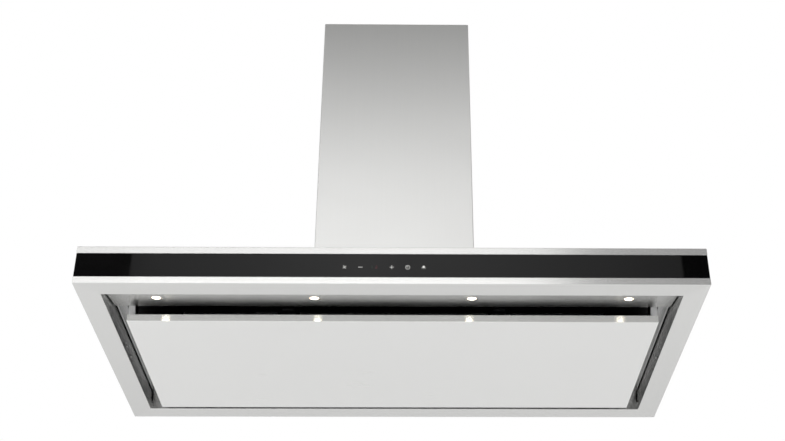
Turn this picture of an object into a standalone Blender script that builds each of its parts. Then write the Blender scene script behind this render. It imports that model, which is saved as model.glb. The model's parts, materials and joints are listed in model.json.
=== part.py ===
"""Island range hood: telescopic chimney, flat steel body with black glass
strips, sloping light plate, perimeter suction panel on a rear hinge,
grease filters, and a double-inlet blower with non-return flaps.

Frame: metres, +Z up, front towards -Y, origin at the centre of the ceiling
mounting face.  The hood hangs below the origin.
"""
import math

import bmesh
import bpy
from mathutils import Matrix, Vector

for ob in list(bpy.data.objects):
    bpy.data.objects.remove(ob, do_unlink=True)

MM = 0.001
GAP = 0.3 * MM                 # clearance between pieces that touch

# ---------------------------------------------------------------- dimensions
WIDTH = 1200 * MM              # body, along X
DEPTH = 650 * MM               # body, along Y
BODY_H = 80 * MM               # body, along Z
TOTAL_H = 777 * MM             # ceiling face to underside, shortest setting
EXTEND = 300 * MM              # travel of the height adjustment

TRIM_LOW = 14.5 * MM           # height of the bottom steel band
TRIM_HIGH = 65 * MM            # where the top steel band starts
GLASS_T = 4 * MM
GLASS_INSET = 0.3 * MM         # glass face behind the steel bands
SHEET = 1.2 * MM
RIM_T = 1.5 * MM
RIM = 45 * MM                  # underside rim at the sides and the rear
RIM_FRONT = 45 * MM             # the same at the front
RECESS_H = 46 * MM             # height of the recess walls at the sides and rear
STRIP_H = 42 * MM              # ceiling strip beside and behind the panel

PANEL_HX = 527.8 * MM
PANEL_Y0 = -165.5 * MM
PANEL_Y1 = 268.8 * MM
PANEL_H = 16 * MM
HINGE_Y = 259.5 * MM
HINGE_H = 11 * MM
HINGE_X = 501.5 * MM
PANEL_OPEN = 85                # degrees

PLATE_Y0 = -279.6 * MM         # light plate, front edge
PLATE_Y1 = -166.5 * MM         # light plate, rear edge
PLATE_H0 = 12.9 * MM
PLATE_H1 = 33.8 * MM
LAMP_Y = -223 * MM
LAMP_X = (-461.5 * MM, -154 * MM, 154 * MM, 461.5 * MM)

POCKET_HX = 533 * MM           # filter chamber, side walls
POCKET_Y0 = -163.5 * MM
POCKET_Y1 = 257 * MM
POCKET_TOP = 60 * MM
FILTER_HX = 430 * MM           # lip around the two filters
FILTER_Y0 = -112 * MM
FILTER_Y1 = 206 * MM
FILTER_H0 = 49 * MM
FILTER_T = 9 * MM
LATCH_TRAVEL = 6 * MM

CHIM_HX = 165 * MM             # lower sleeve, outside
CHIM_HY = 145 * MM
SLEEVE_T = 1.0 * MM
UPPER_HX = 163 * MM            # upper sleeve, outside
UPPER_HY = 143 * MM
UPPER_LEN = 655 * MM
POST = 25 * MM
POST_T = 2.5 * MM
UPPER_POST_LEN = 600 * MM

BOX_HX = 130 * MM              # motor box
BOX_HY = 110 * MM
BOX_TOP = 345 * MM
FAN_H = 205 * MM               # blower axis above the underside
FAN_R = 70 * MM
FAN_HALF = 58 * MM
SCROLL_HALF = 72 * MM
DUCT_R = 75 * MM               # outlet collar, outside
FLAP_H = 375 * MM              # axis of the non-return flaps
FLAP_OPEN = 75                 # degrees

Z0 = -TOTAL_H                  # underside


def up(h):
    """World z of a height above the underside."""
    return Z0 + h


# ----------------------------------------------------------------- materials
def material(name, rgb, rough, metal, alpha=1.0, emit=0.0):
    mat = bpy.data.materials.new(name)
    mat.use_nodes = True
    bsdf = mat.node_tree.nodes["Principled BSDF"]
    bsdf.inputs["Base Color"].default_value = (*rgb, 1.0)
    bsdf.inputs["Roughness"].default_value = rough
    bsdf.inputs["Metallic"].default_value = metal
    bsdf.inputs["Alpha"].default_value = alpha
    if emit:
        bsdf.inputs["Emission Color"].default_value = (1.0, 0.93, 0.75, 1.0)
        bsdf.inputs["Emission Strength"].default_value = emit
    return mat


STEEL = ("brushed_steel", (0.62, 0.62, 0.61), 0.32, 1.0)
PANEL_STEEL = ("panel_steel", (0.70, 0.70, 0.69), 0.36, 1.0)
GLASS = ("black_glass", (0.006, 0.006, 0.007), 0.06, 0.0)
ZINC = ("galvanised_steel", (0.52, 0.53, 0.54), 0.45, 1.0)
BRIGHT = ("bright_steel", (0.66, 0.66, 0.66), 0.22, 1.0)
ALU = ("aluminium", (0.70, 0.71, 0.72), 0.40, 1.0)
DARK = ("dark_plastic", (0.03, 0.03, 0.032), 0.50, 0.0)
GREY = ("grey_plastic", (0.30, 0.31, 0.32), 0.50, 0.0)
PCB = ("circuit_board", (0.02, 0.13, 0.06), 0.45, 0.0)
CHROME = ("lamp_chrome", (0.75, 0.75, 0.76), 0.12, 1.0)
LENS = ("lamp_lens", (1.0, 0.95, 0.85), 0.20, 0.0)


# ---------------------------------------------------------- joint-axis empties
def empty(name, loc, parent=None):
    e = bpy.data.objects.new(name, None)
    bpy.context.scene.collection.objects.link(e)
    e.empty_display_size = 0.05
    if parent is not None:
        e.parent = parent
        e.location = Vector(loc) - parent_world(parent)
    else:
        e.location = loc
    return e


def parent_world(obj):
    p = Vector((0, 0, 0))
    while obj is not None:
        p += obj.location
        obj = obj.parent
    return p


CEILING = empty("ceiling_frame_origin", (0, 0, 0))
HOOD = empty("height_adjust_axis", (0, 0, up(BODY_H)), CEILING)
PANEL = empty("panel_hinge_axis", (0, HINGE_Y, up(HINGE_H)), HOOD)
FAN = empty("impeller_axis", (0, 0, up(FAN_H)), HOOD)
FLAP_F = empty("front_flap_axis", (0, 0, up(FLAP_H)), HOOD)
FLAP_R = empty("rear_flap_axis", (0, 0, up(FLAP_H)), HOOD)
LATCH_L = empty("left_latch_axis", (-FILTER_HX / 2, FILTER_Y0, up(FILTER_H0)), HOOD)
LATCH_R = empty("right_latch_axis", (FILTER_HX / 2, FILTER_Y0, up(FILTER_H0)), HOOD)


# ------------------------------------------------------------------- helpers
def make(name, bm, group, mat, smooth=None, guide=False, moving=False):
    """Object from world-space geometry.  Its own origin goes to the middle
    of its underside; a moving piece keeps its origin on its joint axis."""
    bmesh.ops.remove_doubles(bm, verts=bm.verts, dist=1e-7)
    bmesh.ops.recalc_face_normals(bm, faces=bm.faces)
    base = parent_world(group)
    if moving:
        origin = base.copy()
    else:
        xs = [v.co.x for v in bm.verts]
        ys = [v.co.y for v in bm.verts]
        zs = [v.co.z for v in bm.verts]
        origin = Vector(((min(xs) + max(xs)) / 2, (min(ys) + max(ys)) / 2, min(zs)))
    bmesh.ops.translate(bm, verts=bm.verts, vec=-origin)
    me = bpy.data.meshes.new(name)
    bm.to_mesh(me)
    bm.free()
    ob = bpy.data.objects.new(name, me)
    bpy.context.scene.collection.objects.link(ob)
    ob.parent = group
    ob.location = origin - base
    if guide:
        ob.hide_render = True
        ob.display_type = 'WIRE'
    else:
        me.materials.append(material(name + "_" + mat[0], *mat[1:]))
    if smooth is not None:
        me.shade_smooth()
        me.set_sharp_from_angle(angle=math.radians(smooth))
    return ob


def boolean(ob, other, operation):
    m = ob.modifiers.new(operation.lower(), 'BOOLEAN')
    m.operation = operation
    m.solver = 'EXACT'
    m.object = other


def add_box(bm, lo, hi):
    ret = bmesh.ops.create_cube(bm, size=1.0)
    for v in ret["verts"]:
        v.co = Vector([lo[i] + (v.co[i] + 0.5) * (hi[i] - lo[i]) for i in range(3)])
    return ret["verts"]


def boxed(name, lo, hi, group, mat, **kw):
    bm = bmesh.new()
    add_box(bm, lo, hi)
    return make(name, bm, group, mat, **kw)


def rounded(points, radii, closed, steps=4):
    """2D path with its corners replaced by arcs."""
    out = []
    n = len(points)
    for i, p in enumerate(points):
        r = radii[i]
        if r <= 0 or (not closed and i in (0, n - 1)):
            out.append(tuple(p))
            continue
        a = Vector(points[i - 1]) - Vector(p)
        b = Vector(points[(i + 1) % n]) - Vector(p)
        a.normalize()
        b.normalize()
        half = a.angle(b) / 2
        mid = (a + b).normalized()
        centre = Vector(p) + mid * (r / math.sin(half))
        s = Vector(p) + a * (r / math.tan(half)) - centre
        e = Vector(p) + b * (r / math.tan(half)) - centre
        turn = s.angle_signed(e)
        for k in range(steps + 1):
            t = -turn * k / steps
            out.append((centre.x + s.x * math.cos(t) - s.y * math.sin(t),
                        centre.y + s.x * math.sin(t) + s.y * math.cos(t)))
    return out


def folded(path, t, bend, steps=4):
    """Closed outline of a sheet of thickness t folded along an open path.
    The path is its right-hand face; the thickness grows to the left."""
    pts = [Vector(p) for p in path]
    n = len(pts)
    left, ra, rb = [], [], []
    for i in range(n):
        d0 = (pts[i] - pts[i - 1]).normalized() if i > 0 else None
        d1 = (pts[i + 1] - pts[i]).normalized() if i < n - 1 else None
        if d0 is None or d1 is None:
            d = d1 if d0 is None else d0
            left.append(pts[i] + Vector((-d.y, d.x)) * t)
            ra.append(0)
            rb.append(0)
            continue
        n0, n1 = Vector((-d0.y, d0.x)), Vector((-d1.y, d1.x))
        m = (n0 + n1).normalized()
        left.append(pts[i] + m * (t / m.dot(n0)))
        turn = d0.x * d1.y - d0.y * d1.x
        ra.append(bend + t if turn > 0 else bend)
        rb.append(bend if turn > 0 else bend + t)
    right = rounded([tuple(p) for p in pts], ra, False, steps)
    back = rounded([tuple(p) for p in left], rb, False, steps)
    return right + back[::-1]


def prism(bm, outline, axis, a, b):
    """Extrude a closed 2D outline along a world axis from a to b."""
    order = {'X': lambda u, v, w: (w, u, v),
             'Y': lambda u, v, w: (u, w, v),
             'Z': lambda u, v, w: (u, v, w)}[axis]
    lo = [bm.verts.new(order(u, v, a)) for u, v in outline]
    hi = [bm.verts.new(order(u, v, b)) for u, v in outline]
    n = len(outline)
    for i in range(n):
        j = (i + 1) % n
        bm.faces.new((lo[i], lo[j], hi[j], hi[i]))
    bm.faces.new(lo[::-1])
    bm.faces.new(hi)


def extruded(name, outline, axis, a, b, group, mat, **kw):
    bm = bmesh.new()
    prism(bm, outline, axis, a, b)
    return make(name, bm, group, mat, **kw)


def turned(bm, outline, segs, matrix, solid):
    """Revolve an (r, a) outline about the local Z axis of a matrix.  A solid
    outline starts and ends on the axis; a hollow one is a closed loop."""
    rings = []
    for r, a in outline:
        if r < 1e-9:
            rings.append([bm.verts.new(matrix @ Vector((0, 0, a)))])
        else:
            rings.append([bm.verts.new(matrix @ Vector((
                r * math.cos(2 * math.pi * k / segs),
                r * math.sin(2 * math.pi * k / segs), a))) for k in range(segs)])
    n = len(rings)
    for i in range(n - 1 if solid else n):
        p, q = rings[i], rings[(i + 1) % n]
        for k in range(segs):
            m = (k + 1) % segs
            if len(p) == 1 and len(q) == 1:
                continue
            if len(p) == 1:
                bm.faces.new((p[0], q[m], q[k]))
            elif len(q) == 1:
                bm.faces.new((p[k], p[m], q[0]))
            else:
                bm.faces.new((p[k], p[m], q[m], q[k]))


def along(axis, centre):
    """Matrix whose local Z runs along a world direction through a centre."""
    rot = Vector(axis).to_track_quat('Z', 'Y').to_matrix().to_4x4()
    return Matrix.Translation(Vector(centre)) @ rot


def lathe(name, outline, segs, axis, centre, group, mat, solid=True, **kw):
    bm = bmesh.new()
    turned(bm, outline, segs, along(axis, centre), solid)
    kw.setdefault("smooth", 35)
    return make(name, bm, group, mat, **kw)


def disc_guide(name, r, segs, axis, centre, a, b, group):
    return lathe(name, [(0, a), (r, a), (r, b), (0, b)], segs, axis, centre,
                 group, None, guide=True, smooth=None)


def mitred_ring(name, outline, plan, group, mat):
    """Sheet section carried round a rectangle with mitred corners.  plan(d)
    gives the half width and the front and rear y of a section point."""
    bm = bmesh.new()
    loops = []
    for d, h in outline:
        hx, y0, y1 = plan(d)
        z = up(h)
        loops.append([bm.verts.new((-hx, y0, z)), bm.verts.new((hx, y0, z)),
                      bm.verts.new((hx, y1, z)), bm.verts.new((-hx, y1, z))])
    n = len(loops)
    for i in range(n):
        p, q = loops[i], loops[(i + 1) % n]
        for k in range(4):
            m = (k + 1) % 4
            bm.faces.new((p[k], p[m], q[m], q[k]))
    return make(name, bm, group, mat)


def offset_plan(d):
    """Section point d in from the body's outer faces."""
    front = d - (RIM - RIM_FRONT) if d > 20 * MM else d
    return WIDTH / 2 - d, -DEPTH / 2 + front, DEPTH / 2 - d


# ============================================================ ceiling frame
# Steel plate screwed to the ceiling: duct hole and four slotted holes.
plate_hx, plate_hy = UPPER_HX - SLEEVE_T - 0.5 * MM, UPPER_HY - SLEEVE_T - 0.5 * MM
ceiling_plate = boxed("ceiling_plate", (-plate_hx, -plate_hy, -3 * MM),
                      (plate_hx, plate_hy, 0), CEILING, ZINC)
boolean(ceiling_plate, disc_guide("cut_duct_hole", 80 * MM, 48, (0, 0, 1), (0, 0, 0),
                                  -10 * MM, 10 * MM, CEILING), 'DIFFERENCE')
bm = bmesh.new()
for sx in (-1, 1):
    for sy in (-1, 1):
        cx, cy = sx * 112 * MM, sy * 92 * MM
        slot = [(cx + 10 * MM * s + 4 * MM * math.cos(math.radians(a)),
                 cy + 4 * MM * math.sin(math.radians(a)))
                for s, a0 in ((1, -90), (-1, 90)) for a in range(a0, a0 + 181, 30)]
        prism(bm, slot, 'Z', -10 * MM, 10 * MM)
boolean(ceiling_plate, make("cut_ceiling_slots", bm, CEILING, None, guide=True),
        'DIFFERENCE')


def corner_post(name, sx, sy, hx, hy, leg, z0, z1, group):
    """L-section post whose corner sits at (hx, hy)."""
    path = [(sx * (hx - leg), sy * hy), (sx * hx, sy * hy), (sx * hx, sy * (hy - leg))]
    if sx * sy > 0:
        path = path[::-1]
    return extruded(name, folded(path, POST_T, 0.5 * MM, 3), 'Z', z0, z1, group, ZINC)


CORNERS = (("front_left", -1, -1), ("front_right", 1, -1),
           ("rear_left", -1, 1), ("rear_right", 1, 1))
for label, sx, sy in CORNERS:
    corner_post("upper_post_" + label, sx, sy, 158 * MM, 138 * MM, POST,
                -3.3 * MM - UPPER_POST_LEN, -3.3 * MM, CEILING)


def sleeve_half(name, side, hx, hy, z0, z1, group):
    """Folded half of a chimney sleeve; side is -1 for the front half."""
    seam = side * 0.15 * MM
    path = [(-hx, seam), (-hx, side * hy), (hx, side * hy), (hx, seam)]
    if side > 0:
        path = path[::-1]
    return extruded(name, folded(path, SLEEVE_T, 1.0 * MM, 4), 'Z', z0, z1, group,
                    STEEL, smooth=25)


sleeve_half("upper_sleeve_front", -1, UPPER_HX, UPPER_HY, -UPPER_LEN, -0.2 * MM, CEILING)
sleeve_half("upper_sleeve_rear", 1, UPPER_HX, UPPER_HY, -UPPER_LEN, -0.2 * MM, CEILING)

# ==================================================================== hood
sleeve_half("lower_sleeve_front", -1, CHIM_HX, CHIM_HY, up(BODY_H + GAP), -2 * MM, HOOD)
sleeve_half("lower_sleeve_rear", 1, CHIM_HX, CHIM_HY, up(BODY_H + GAP), -2 * MM, HOOD)
for label, sx, sy in CORNERS:
    corner_post("lower_post_" + label, sx, sy, 155.2 * MM, 135.2 * MM, 22 * MM,
                up(BODY_H + GAP), -37 * MM, HOOD)

# Bottom rim: outer band, 45 mm flat underside and the recess wall, one fold.
rim_path = [(0, TRIM_LOW), (0, 0), (RIM, 0), (RIM, RECESS_H)]
rim = mitred_ring("rim_frame", folded(rim_path, RIM_T, 0.3 * MM, 4), offset_plan, HOOD, STEEL)
bm = bmesh.new()
add_box(bm, (-WIDTH / 2 + RIM + 1 * MM, -DEPTH / 2 + RIM_FRONT - 8 * MM, up(37 * MM)),
        (WIDTH / 2 - RIM - 1 * MM, -DEPTH / 2 + RIM_FRONT + 4 * MM, up(RECESS_H + 4 * MM)))
# Relief slits between the rear wall and the side walls.
for sx in (-1, 1):
    x0, x1 = sorted((sx * (WIDTH / 2 - RIM + 0.2 * MM), sx * (WIDTH / 2 - RIM - 2 * MM)))
    add_box(bm, (x0, DEPTH / 2 - RIM - 1 * MM, up(20 * MM)),
            (x1, DEPTH / 2 - RIM + 4 * MM, up(RECESS_H + 4 * MM)))
boolean(rim, make("cut_rim_walls", bm, HOOD, None, guide=True), 'DIFFERENCE')


# Top casing: upper band and the top plate with the hole under the motor box.
def top_plan(d):
    if d > 100 * MM:
        return 125 * MM, -105 * MM, 105 * MM
    return WIDTH / 2 - d, -DEPTH / 2 + d, DEPTH / 2 - d


top_path = [(200 * MM, BODY_H), (0, BODY_H), (0, TRIM_HIGH)]
mitred_ring("top_casing", folded(top_path, SHEET, 0.5 * MM, 4), top_plan, HOOD, STEEL)

# Inner band that ties the rim to the top casing and backs the glass.
band0 = GLASS_INSET + GLASS_T + GAP
carcass = mitred_ring("body_carcass",
                      [(band0, RIM_T + GAP), (band0 + SHEET, RIM_T + GAP),
                       (band0 + SHEET, BODY_H - SHEET - GAP),
                       (band0, BODY_H - SHEET - GAP)], offset_plan, HOOD, ZINC)
boolean(carcass, boxed("cut_touch_window",
                       (-125 * MM, -DEPTH / 2, up(20 * MM)),
                       (95 * MM, -DEPTH / 2 + 20 * MM, up(60 * MM)),
                       HOOD, None, guide=True), 'DIFFERENCE')

# Four black glass strips, the front and rear ones across the full width.
gx, gy = WIDTH / 2 - GLASS_INSET, DEPTH / 2 - GLASS_INSET
g0, g1 = up(TRIM_LOW + GAP), up(TRIM_HIGH - GAP)
boxed("front_glass", (-gx, -gy, g0), (gx, -gy + GLASS_T, g1), HOOD, GLASS)
boxed("rear_glass", (-gx, gy - GLASS_T, g0), (gx, gy, g1), HOOD, GLASS)
boxed("left_glass", (-gx, -gy + GLASS_T + GAP, g0), (-gx + GLASS_T, gy - GLASS_T - GAP, g1),
      HOOD, GLASS)
boxed("right_glass", (gx - GLASS_T, -gy + GLASS_T + GAP, g0), (gx, gy - GLASS_T - GAP, g1),
      HOOD, GLASS)

# Sloping light plate with its front and rear flanges and four lamp holes.
slope = math.atan2(PLATE_H1 - PLATE_H0, PLATE_Y1 - PLATE_Y0)
lamp_h = PLATE_H0 + math.tan(slope) * (LAMP_Y - PLATE_Y0)
lamp_up = Vector((0, -math.sin(slope), math.cos(slope)))
light_path = [(PLATE_Y0, up(30 * MM)), (PLATE_Y0, up(PLATE_H0)),
              (PLATE_Y1, up(PLATE_H1)), (PLATE_Y1, up(58 * MM))]
plate_hx = WIDTH / 2 - RIM - 2.4 * MM
light_plate = extruded("light_plate", folded(light_path, SHEET, 0.6 * MM, 3), 'X',
                       -plate_hx, plate_hx, HOOD, STEEL)
bm = bmesh.new()
for x in LAMP_X:
    turned(bm, [(0, -10 * MM), (11.5 * MM, -10 * MM), (11.5 * MM, 10 * MM), (0, 10 * MM)],
           24, along(lamp_up, (x, LAMP_Y, up(lamp_h))), True)
boolean(light_plate, make("cut_lamp_holes", bm, HOOD, None, guide=True), 'DIFFERENCE')

# Lamps: turned body with a bezel below the plate, and the lens in its pocket.
lamp_body = [(0, 1.0), (10.2, 1.0), (10.2, -1.9), (12.4, -1.7), (13.0, -1.0),
             (13.0, -0.3), (11.2, -0.3), (11.2, 14.0), (3.0, 14.0), (3.0, 17.5), (0, 17.5)]
lamp_lens = [(0, -1.9), (6.5, -1.6), (9.8, -0.9), (9.8, 0.6), (0, 0.6)]
for i, x in enumerate(LAMP_X, start=1):
    c = (x, LAMP_Y, up(lamp_h))
    lathe("lamp_body_%d" % i, [(r * MM, a * MM) for r, a in lamp_body], 20, lamp_up, c,
          HOOD, CHROME)
    lathe("lamp_lens_%d" % i, [(r * MM, a * MM) for r, a in lamp_lens], 20, lamp_up, c,
          HOOD, LENS[:4] + (1.0, 8.0))


# Filter liner: ceiling strip round the panel, chamber walls, pan and filter lip.
def liner_plan(k):
    t = 1.0 * MM
    rows = {
        0: (WIDTH / 2 - RIM - 2.2 * MM, PLATE_Y1 + 1.5 * MM, DEPTH / 2 - RIM - GAP),
        1: (POCKET_HX, POCKET_Y0, POCKET_Y1),
        2: (POCKET_HX + t, POCKET_Y0 - t, POCKET_Y1 + t),
        3: (FILTER_HX, FILTER_Y0, FILTER_Y1),
        4: (FILTER_HX - t, FILTER_Y0 + t, FILTER_Y1 - t),
        5: (WIDTH / 2 - RIM - 5 * MM, PLATE_Y1 + 1.9 * MM, DEPTH / 2 - RIM - 3 * MM)}
    return rows[k]


h0 = STRIP_H
lip = 1.0 * MM                 # the strip's outer edge is turned down a little
liner = mitred_ring("filter_liner",
                    [(0, h0 - lip), (5, h0), (1, h0), (1, POCKET_TOP), (3, POCKET_TOP),
                     (3, 48 * MM), (4, 48 * MM), (4, POCKET_TOP + 1 * MM),
                     (2, POCKET_TOP + 1 * MM), (2, h0 + 1 * MM), (5, h0 + 1 * MM),
                     (0, h0 + 1 * MM - lip)],
                    liner_plan, HOOD, STEEL)
bm = bmesh.new()
for sx in (-1, 1):
    cx = sx * FILTER_HX / 2
    add_box(bm, (cx - 12 * MM, FILTER_Y0 - 5 * MM, up(FILTER_H0 + 2.2 * MM)),
            (cx + 12 * MM, FILTER_Y0 + 5 * MM, up(FILTER_H0 + 6.8 * MM)))
boolean(liner, make("cut_latch_slots", bm, HOOD, None, guide=True), 'DIFFERENCE')

# Grease filters: raised border round the mesh pack, notch for the latch.
for label, sx in (("left", -1), ("right", 1)):
    x0, x1 = sorted((sx * 0.5 * MM, sx * (FILTER_HX - 1.5 * MM)))
    y0, y1 = FILTER_Y0 + 1.5 * MM, FILTER_Y1 - 1.5 * MM
    z0, z1 = up(FILTER_H0), up(FILTER_H0 + FILTER_T)
    f = boxed("grease_filter_" + label, (x0, y0, z0), (x1, y1, z1), HOOD, ALU)
    b = 14 * MM
    bm = bmesh.new()
    add_box(bm, (x0 + b, y0 + 30 * MM, z0 - 5 * MM), (x1 - b, y1 - b, z0 + 3.2 * MM))
    add_box(bm, (x0 + b, y0 + 30 * MM, z1 - 3.2 * MM), (x1 - b, y1 - b, z1 + 5 * MM))
    cx = sx * FILTER_HX / 2
    add_box(bm, (cx - 24 * MM, y0 - 5 * MM, z0 - 5 * MM), (cx + 24 * MM, y0 + 25 * MM, z1 + 5 * MM))
    boolean(f, make("cut_filter_" + label, bm, HOOD, None, guide=True), 'DIFFERENCE')

# Sprung filter latches: the tongue reaches through the lip, the grip hangs
# just below the filter.
for label, sx, group in (("left", -1, LATCH_L), ("right", 1, LATCH_R)):
    cx = sx * FILTER_HX / 2
    y0 = FILTER_Y0 + 2 * MM
    tee = [(cx - 22 * MM, y0), (cx - 10 * MM, y0), (cx - 10 * MM, y0 - 6 * MM),
           (cx + 10 * MM, y0 - 6 * MM), (cx + 10 * MM, y0), (cx + 22 * MM, y0),
           (cx + 22 * MM, y0 + 16 * MM), (cx - 22 * MM, y0 + 16 * MM)]
    latch = extruded("filter_latch_" + label, tee, 'Z', up(FILTER_H0 + 2.8 * MM),
                     up(FILTER_H0 + 6.2 * MM), group, DARK, moving=True)
    boolean(latch, boxed("grip_" + label, (cx - 15 * MM, y0 + 5 * MM, up(FILTER_H0 - 5 * MM)),
                         (cx + 15 * MM, y0 + 10 * MM, up(FILTER_H0 + 4 * MM)),
                         HOOD, None, guide=True), 'UNION')

# Motor box on the top casing, open below, with the outlet hole in its top.
motor_box = boxed("motor_box", (-BOX_HX, -BOX_HY, up(BODY_H + GAP)),
                  (BOX_HX, BOX_HY, up(BOX_TOP)), HOOD, ZINC)
t = 1.0 * MM
boolean(motor_box, boxed("cut_box_inside", (-BOX_HX + t, -BOX_HY + t, up(60 * MM)),
                         (BOX_HX - t, BOX_HY - t, up(BOX_TOP - t)), HOOD, None,
                         guide=True), 'DIFFERENCE')
boolean(motor_box, disc_guide("cut_box_outlet", 73 * MM, 48, (0, 0, 1),
                              (0, 0, up(BOX_TOP)), -10 * MM, 10 * MM, HOOD), 'DIFFERENCE')


# Blower housing: a spiral that widens from the cut-off to the outlet neck.
def scroll(wall, top):
    pts = []
    for k in range(31):
        a = 75 - 255 * k / 30
        r = 76 * MM + 28 * MM * k / 30 - wall
        pts.append((r * math.cos(math.radians(a)), up(FAN_H) + r * math.sin(math.radians(a))))
    pts.append((-104 * MM + wall, up(FAN_H + 70 * MM)))
    pts.append((-76 * MM + wall, up(FAN_H + 134 * MM)))
    pts.append((-76 * MM + wall, up(top)))
    pts.append((76 * MM - wall, up(top)))
    pts.append((76 * MM - wall, up(FAN_H + 134 * MM)))
    pts.append((24 * MM - wall, up(FAN_H + 80 * MM - wall * 0.4)))
    return pts


housing = extruded("blower_housing", scroll(0, BOX_TOP - 1.5 * MM), 'X', -SCROLL_HALF,
                   SCROLL_HALF, HOOD, DARK, smooth=30)
boolean(housing, extruded("cut_scroll", scroll(2 * MM, BOX_TOP + 20 * MM), 'X',
                          -SCROLL_HALF + 2 * MM, SCROLL_HALF - 2 * MM, HOOD, None,
                          guide=True), 'DIFFERENCE')
boolean(housing, disc_guide("cut_inlets", 54 * MM, 36, (1, 0, 0), (0, 0, up(FAN_H)),
                            -90 * MM, 90 * MM, HOOD), 'DIFFERENCE')

# Bell-mouth ring on the left inlet.
lathe("inlet_ring", [(52 * MM, 0), (63 * MM, 0), (63 * MM, 2 * MM), (58 * MM, 7 * MM),
                     (55 * MM, 7 * MM), (53 * MM, 4 * MM)], 36, (-1, 0, 0),
      (-SCROLL_HALF - GAP, 0, up(FAN_H)), HOOD, DARK, solid=False)

# Motor bracket: ring and three arms across the right inlet, with a boss.
bx = SCROLL_HALF + GAP
bracket = lathe("motor_bracket", [(54.5 * MM, 0), (63 * MM, 0), (63 * MM, 3 * MM),
                                  (54.5 * MM, 3 * MM)], 36, (1, 0, 0), (bx, 0, up(FAN_H)),
                HOOD, ZINC, solid=False)
bm = bmesh.new()
for a in (90, 210, 330):
    verts = add_box(bm, (bx + 0.2 * MM, 20 * MM, -5 * MM), (bx + 2.8 * MM, 58 * MM, 5 * MM))
    bmesh.ops.rotate(bm, verts=verts, cent=(0, 0, 0),
                     matrix=Matrix.Rotation(math.radians(a), 3, 'X'))
    bmesh.ops.translate(bm, verts=verts, vec=(0, 0, up(FAN_H)))
boolean(bracket, make("bracket_arms", bm, HOOD, None, guide=True), 'UNION')
boolean(bracket, lathe("bracket_boss", [(0, -13.4 * MM), (26 * MM, -13.4 * MM),
                                        (26 * MM, 3 * MM), (0, 3 * MM)], 24, (1, 0, 0),
                       (bx, 0, up(FAN_H)), HOOD, None, guide=True, smooth=None), 'UNION')

# Motor inside the right half of the impeller, bored for the shaft.
lathe("motor", [(4.3 * MM, 4 * MM), (30 * MM, 4 * MM), (40 * MM, 10 * MM), (40 * MM, 50 * MM),
                (34 * MM, 58 * MM), (4.3 * MM, 58 * MM)], 32, (1, 0, 0), (0, 0, up(FAN_H)),
      HOOD, ZINC, solid=False)

# Impeller: hub disc in the middle, two end rings and a row of blades.
impeller = lathe("impeller", [(4.3 * MM, -16 * MM), (12 * MM, -16 * MM), (12 * MM, -8 * MM),
                              (66 * MM, -8 * MM), (66 * MM, -5 * MM), (14 * MM, -5 * MM),
                              (14 * MM, 2 * MM), (4.3 * MM, 2 * MM)], 32, (1, 0, 0),
                 (0, 0, up(FAN_H)), FAN, DARK, solid=False, moving=True)
for label, x in (("left", -FAN_HALF), ("right", FAN_HALF - 3 * MM)):
    boolean(impeller, lathe("impeller_ring_" + label,
                            [(58 * MM, 0), (FAN_R, 0), (FAN_R, 3 * MM), (58 * MM, 3 * MM)],
                            36, (1, 0, 0), (x, 0, up(FAN_H)), HOOD, None, solid=False,
                            guide=True, smooth=None), 'UNION')
bm = bmesh.new()
BLADES = 24
for k in range(BLADES):
    verts = add_box(bm, (-FAN_HALF + 1 * MM, 59.5 * MM, -0.8 * MM),
                    (FAN_HALF - 1 * MM, 68.5 * MM, 0.8 * MM))
    bmesh.ops.rotate(bm, verts=verts, cent=(0, 64 * MM, 0),
                     matrix=Matrix.Rotation(math.radians(28), 3, 'X'))
    bmesh.ops.rotate(bm, verts=verts, cent=(0, 0, 0),
                     matrix=Matrix.Rotation(2 * math.pi * (k + 0.37) / BLADES, 3, 'X'))
    bmesh.ops.translate(bm, verts=verts, vec=(0, 0, up(FAN_H)))
boolean(impeller, make("impeller_blades", bm, HOOD, None, guide=True), 'UNION')
lathe("motor_shaft", [(0, -20 * MM), (3.4 * MM, -20 * MM), (4.0 * MM, -19 * MM),
                      (4.0 * MM, 57 * MM), (0, 57 * MM)], 24, (1, 0, 0), (0, 0, up(FAN_H)),
      FAN, BRIGHT, moving=True)

# Outlet collar on the motor box: flange, tube and the bead the flaps rest on.
c0 = BOX_TOP + GAP
collar = lathe("outlet_collar",
               [(73 * MM, c0), (92 * MM, c0), (92 * MM, c0 + 2 * MM), (DUCT_R, c0 + 2 * MM),
                (DUCT_R, 400 * MM), (73 * MM, 400 * MM), (73 * MM, 374 * MM),
                (70.5 * MM, 373.6 * MM), (70.5 * MM, 372.4 * MM), (73 * MM, 371 * MM)],
               48, (0, 0, 1), (0, 0, Z0), HOOD, DARK, solid=False)
boolean(collar, disc_guide("cut_pin_holes", 1.8 * MM, 16, (1, 0, 0), (0, 0, up(FLAP_H)),
                           -90 * MM, 90 * MM, HOOD), 'DIFFERENCE')
lathe("flap_pin", [(0, -78 * MM), (1.5 * MM, -78 * MM), (1.5 * MM, 78 * MM), (0, 78 * MM)],
      16, (1, 0, 0), (0, 0, up(FLAP_H)), HOOD, BRIGHT)

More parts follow.
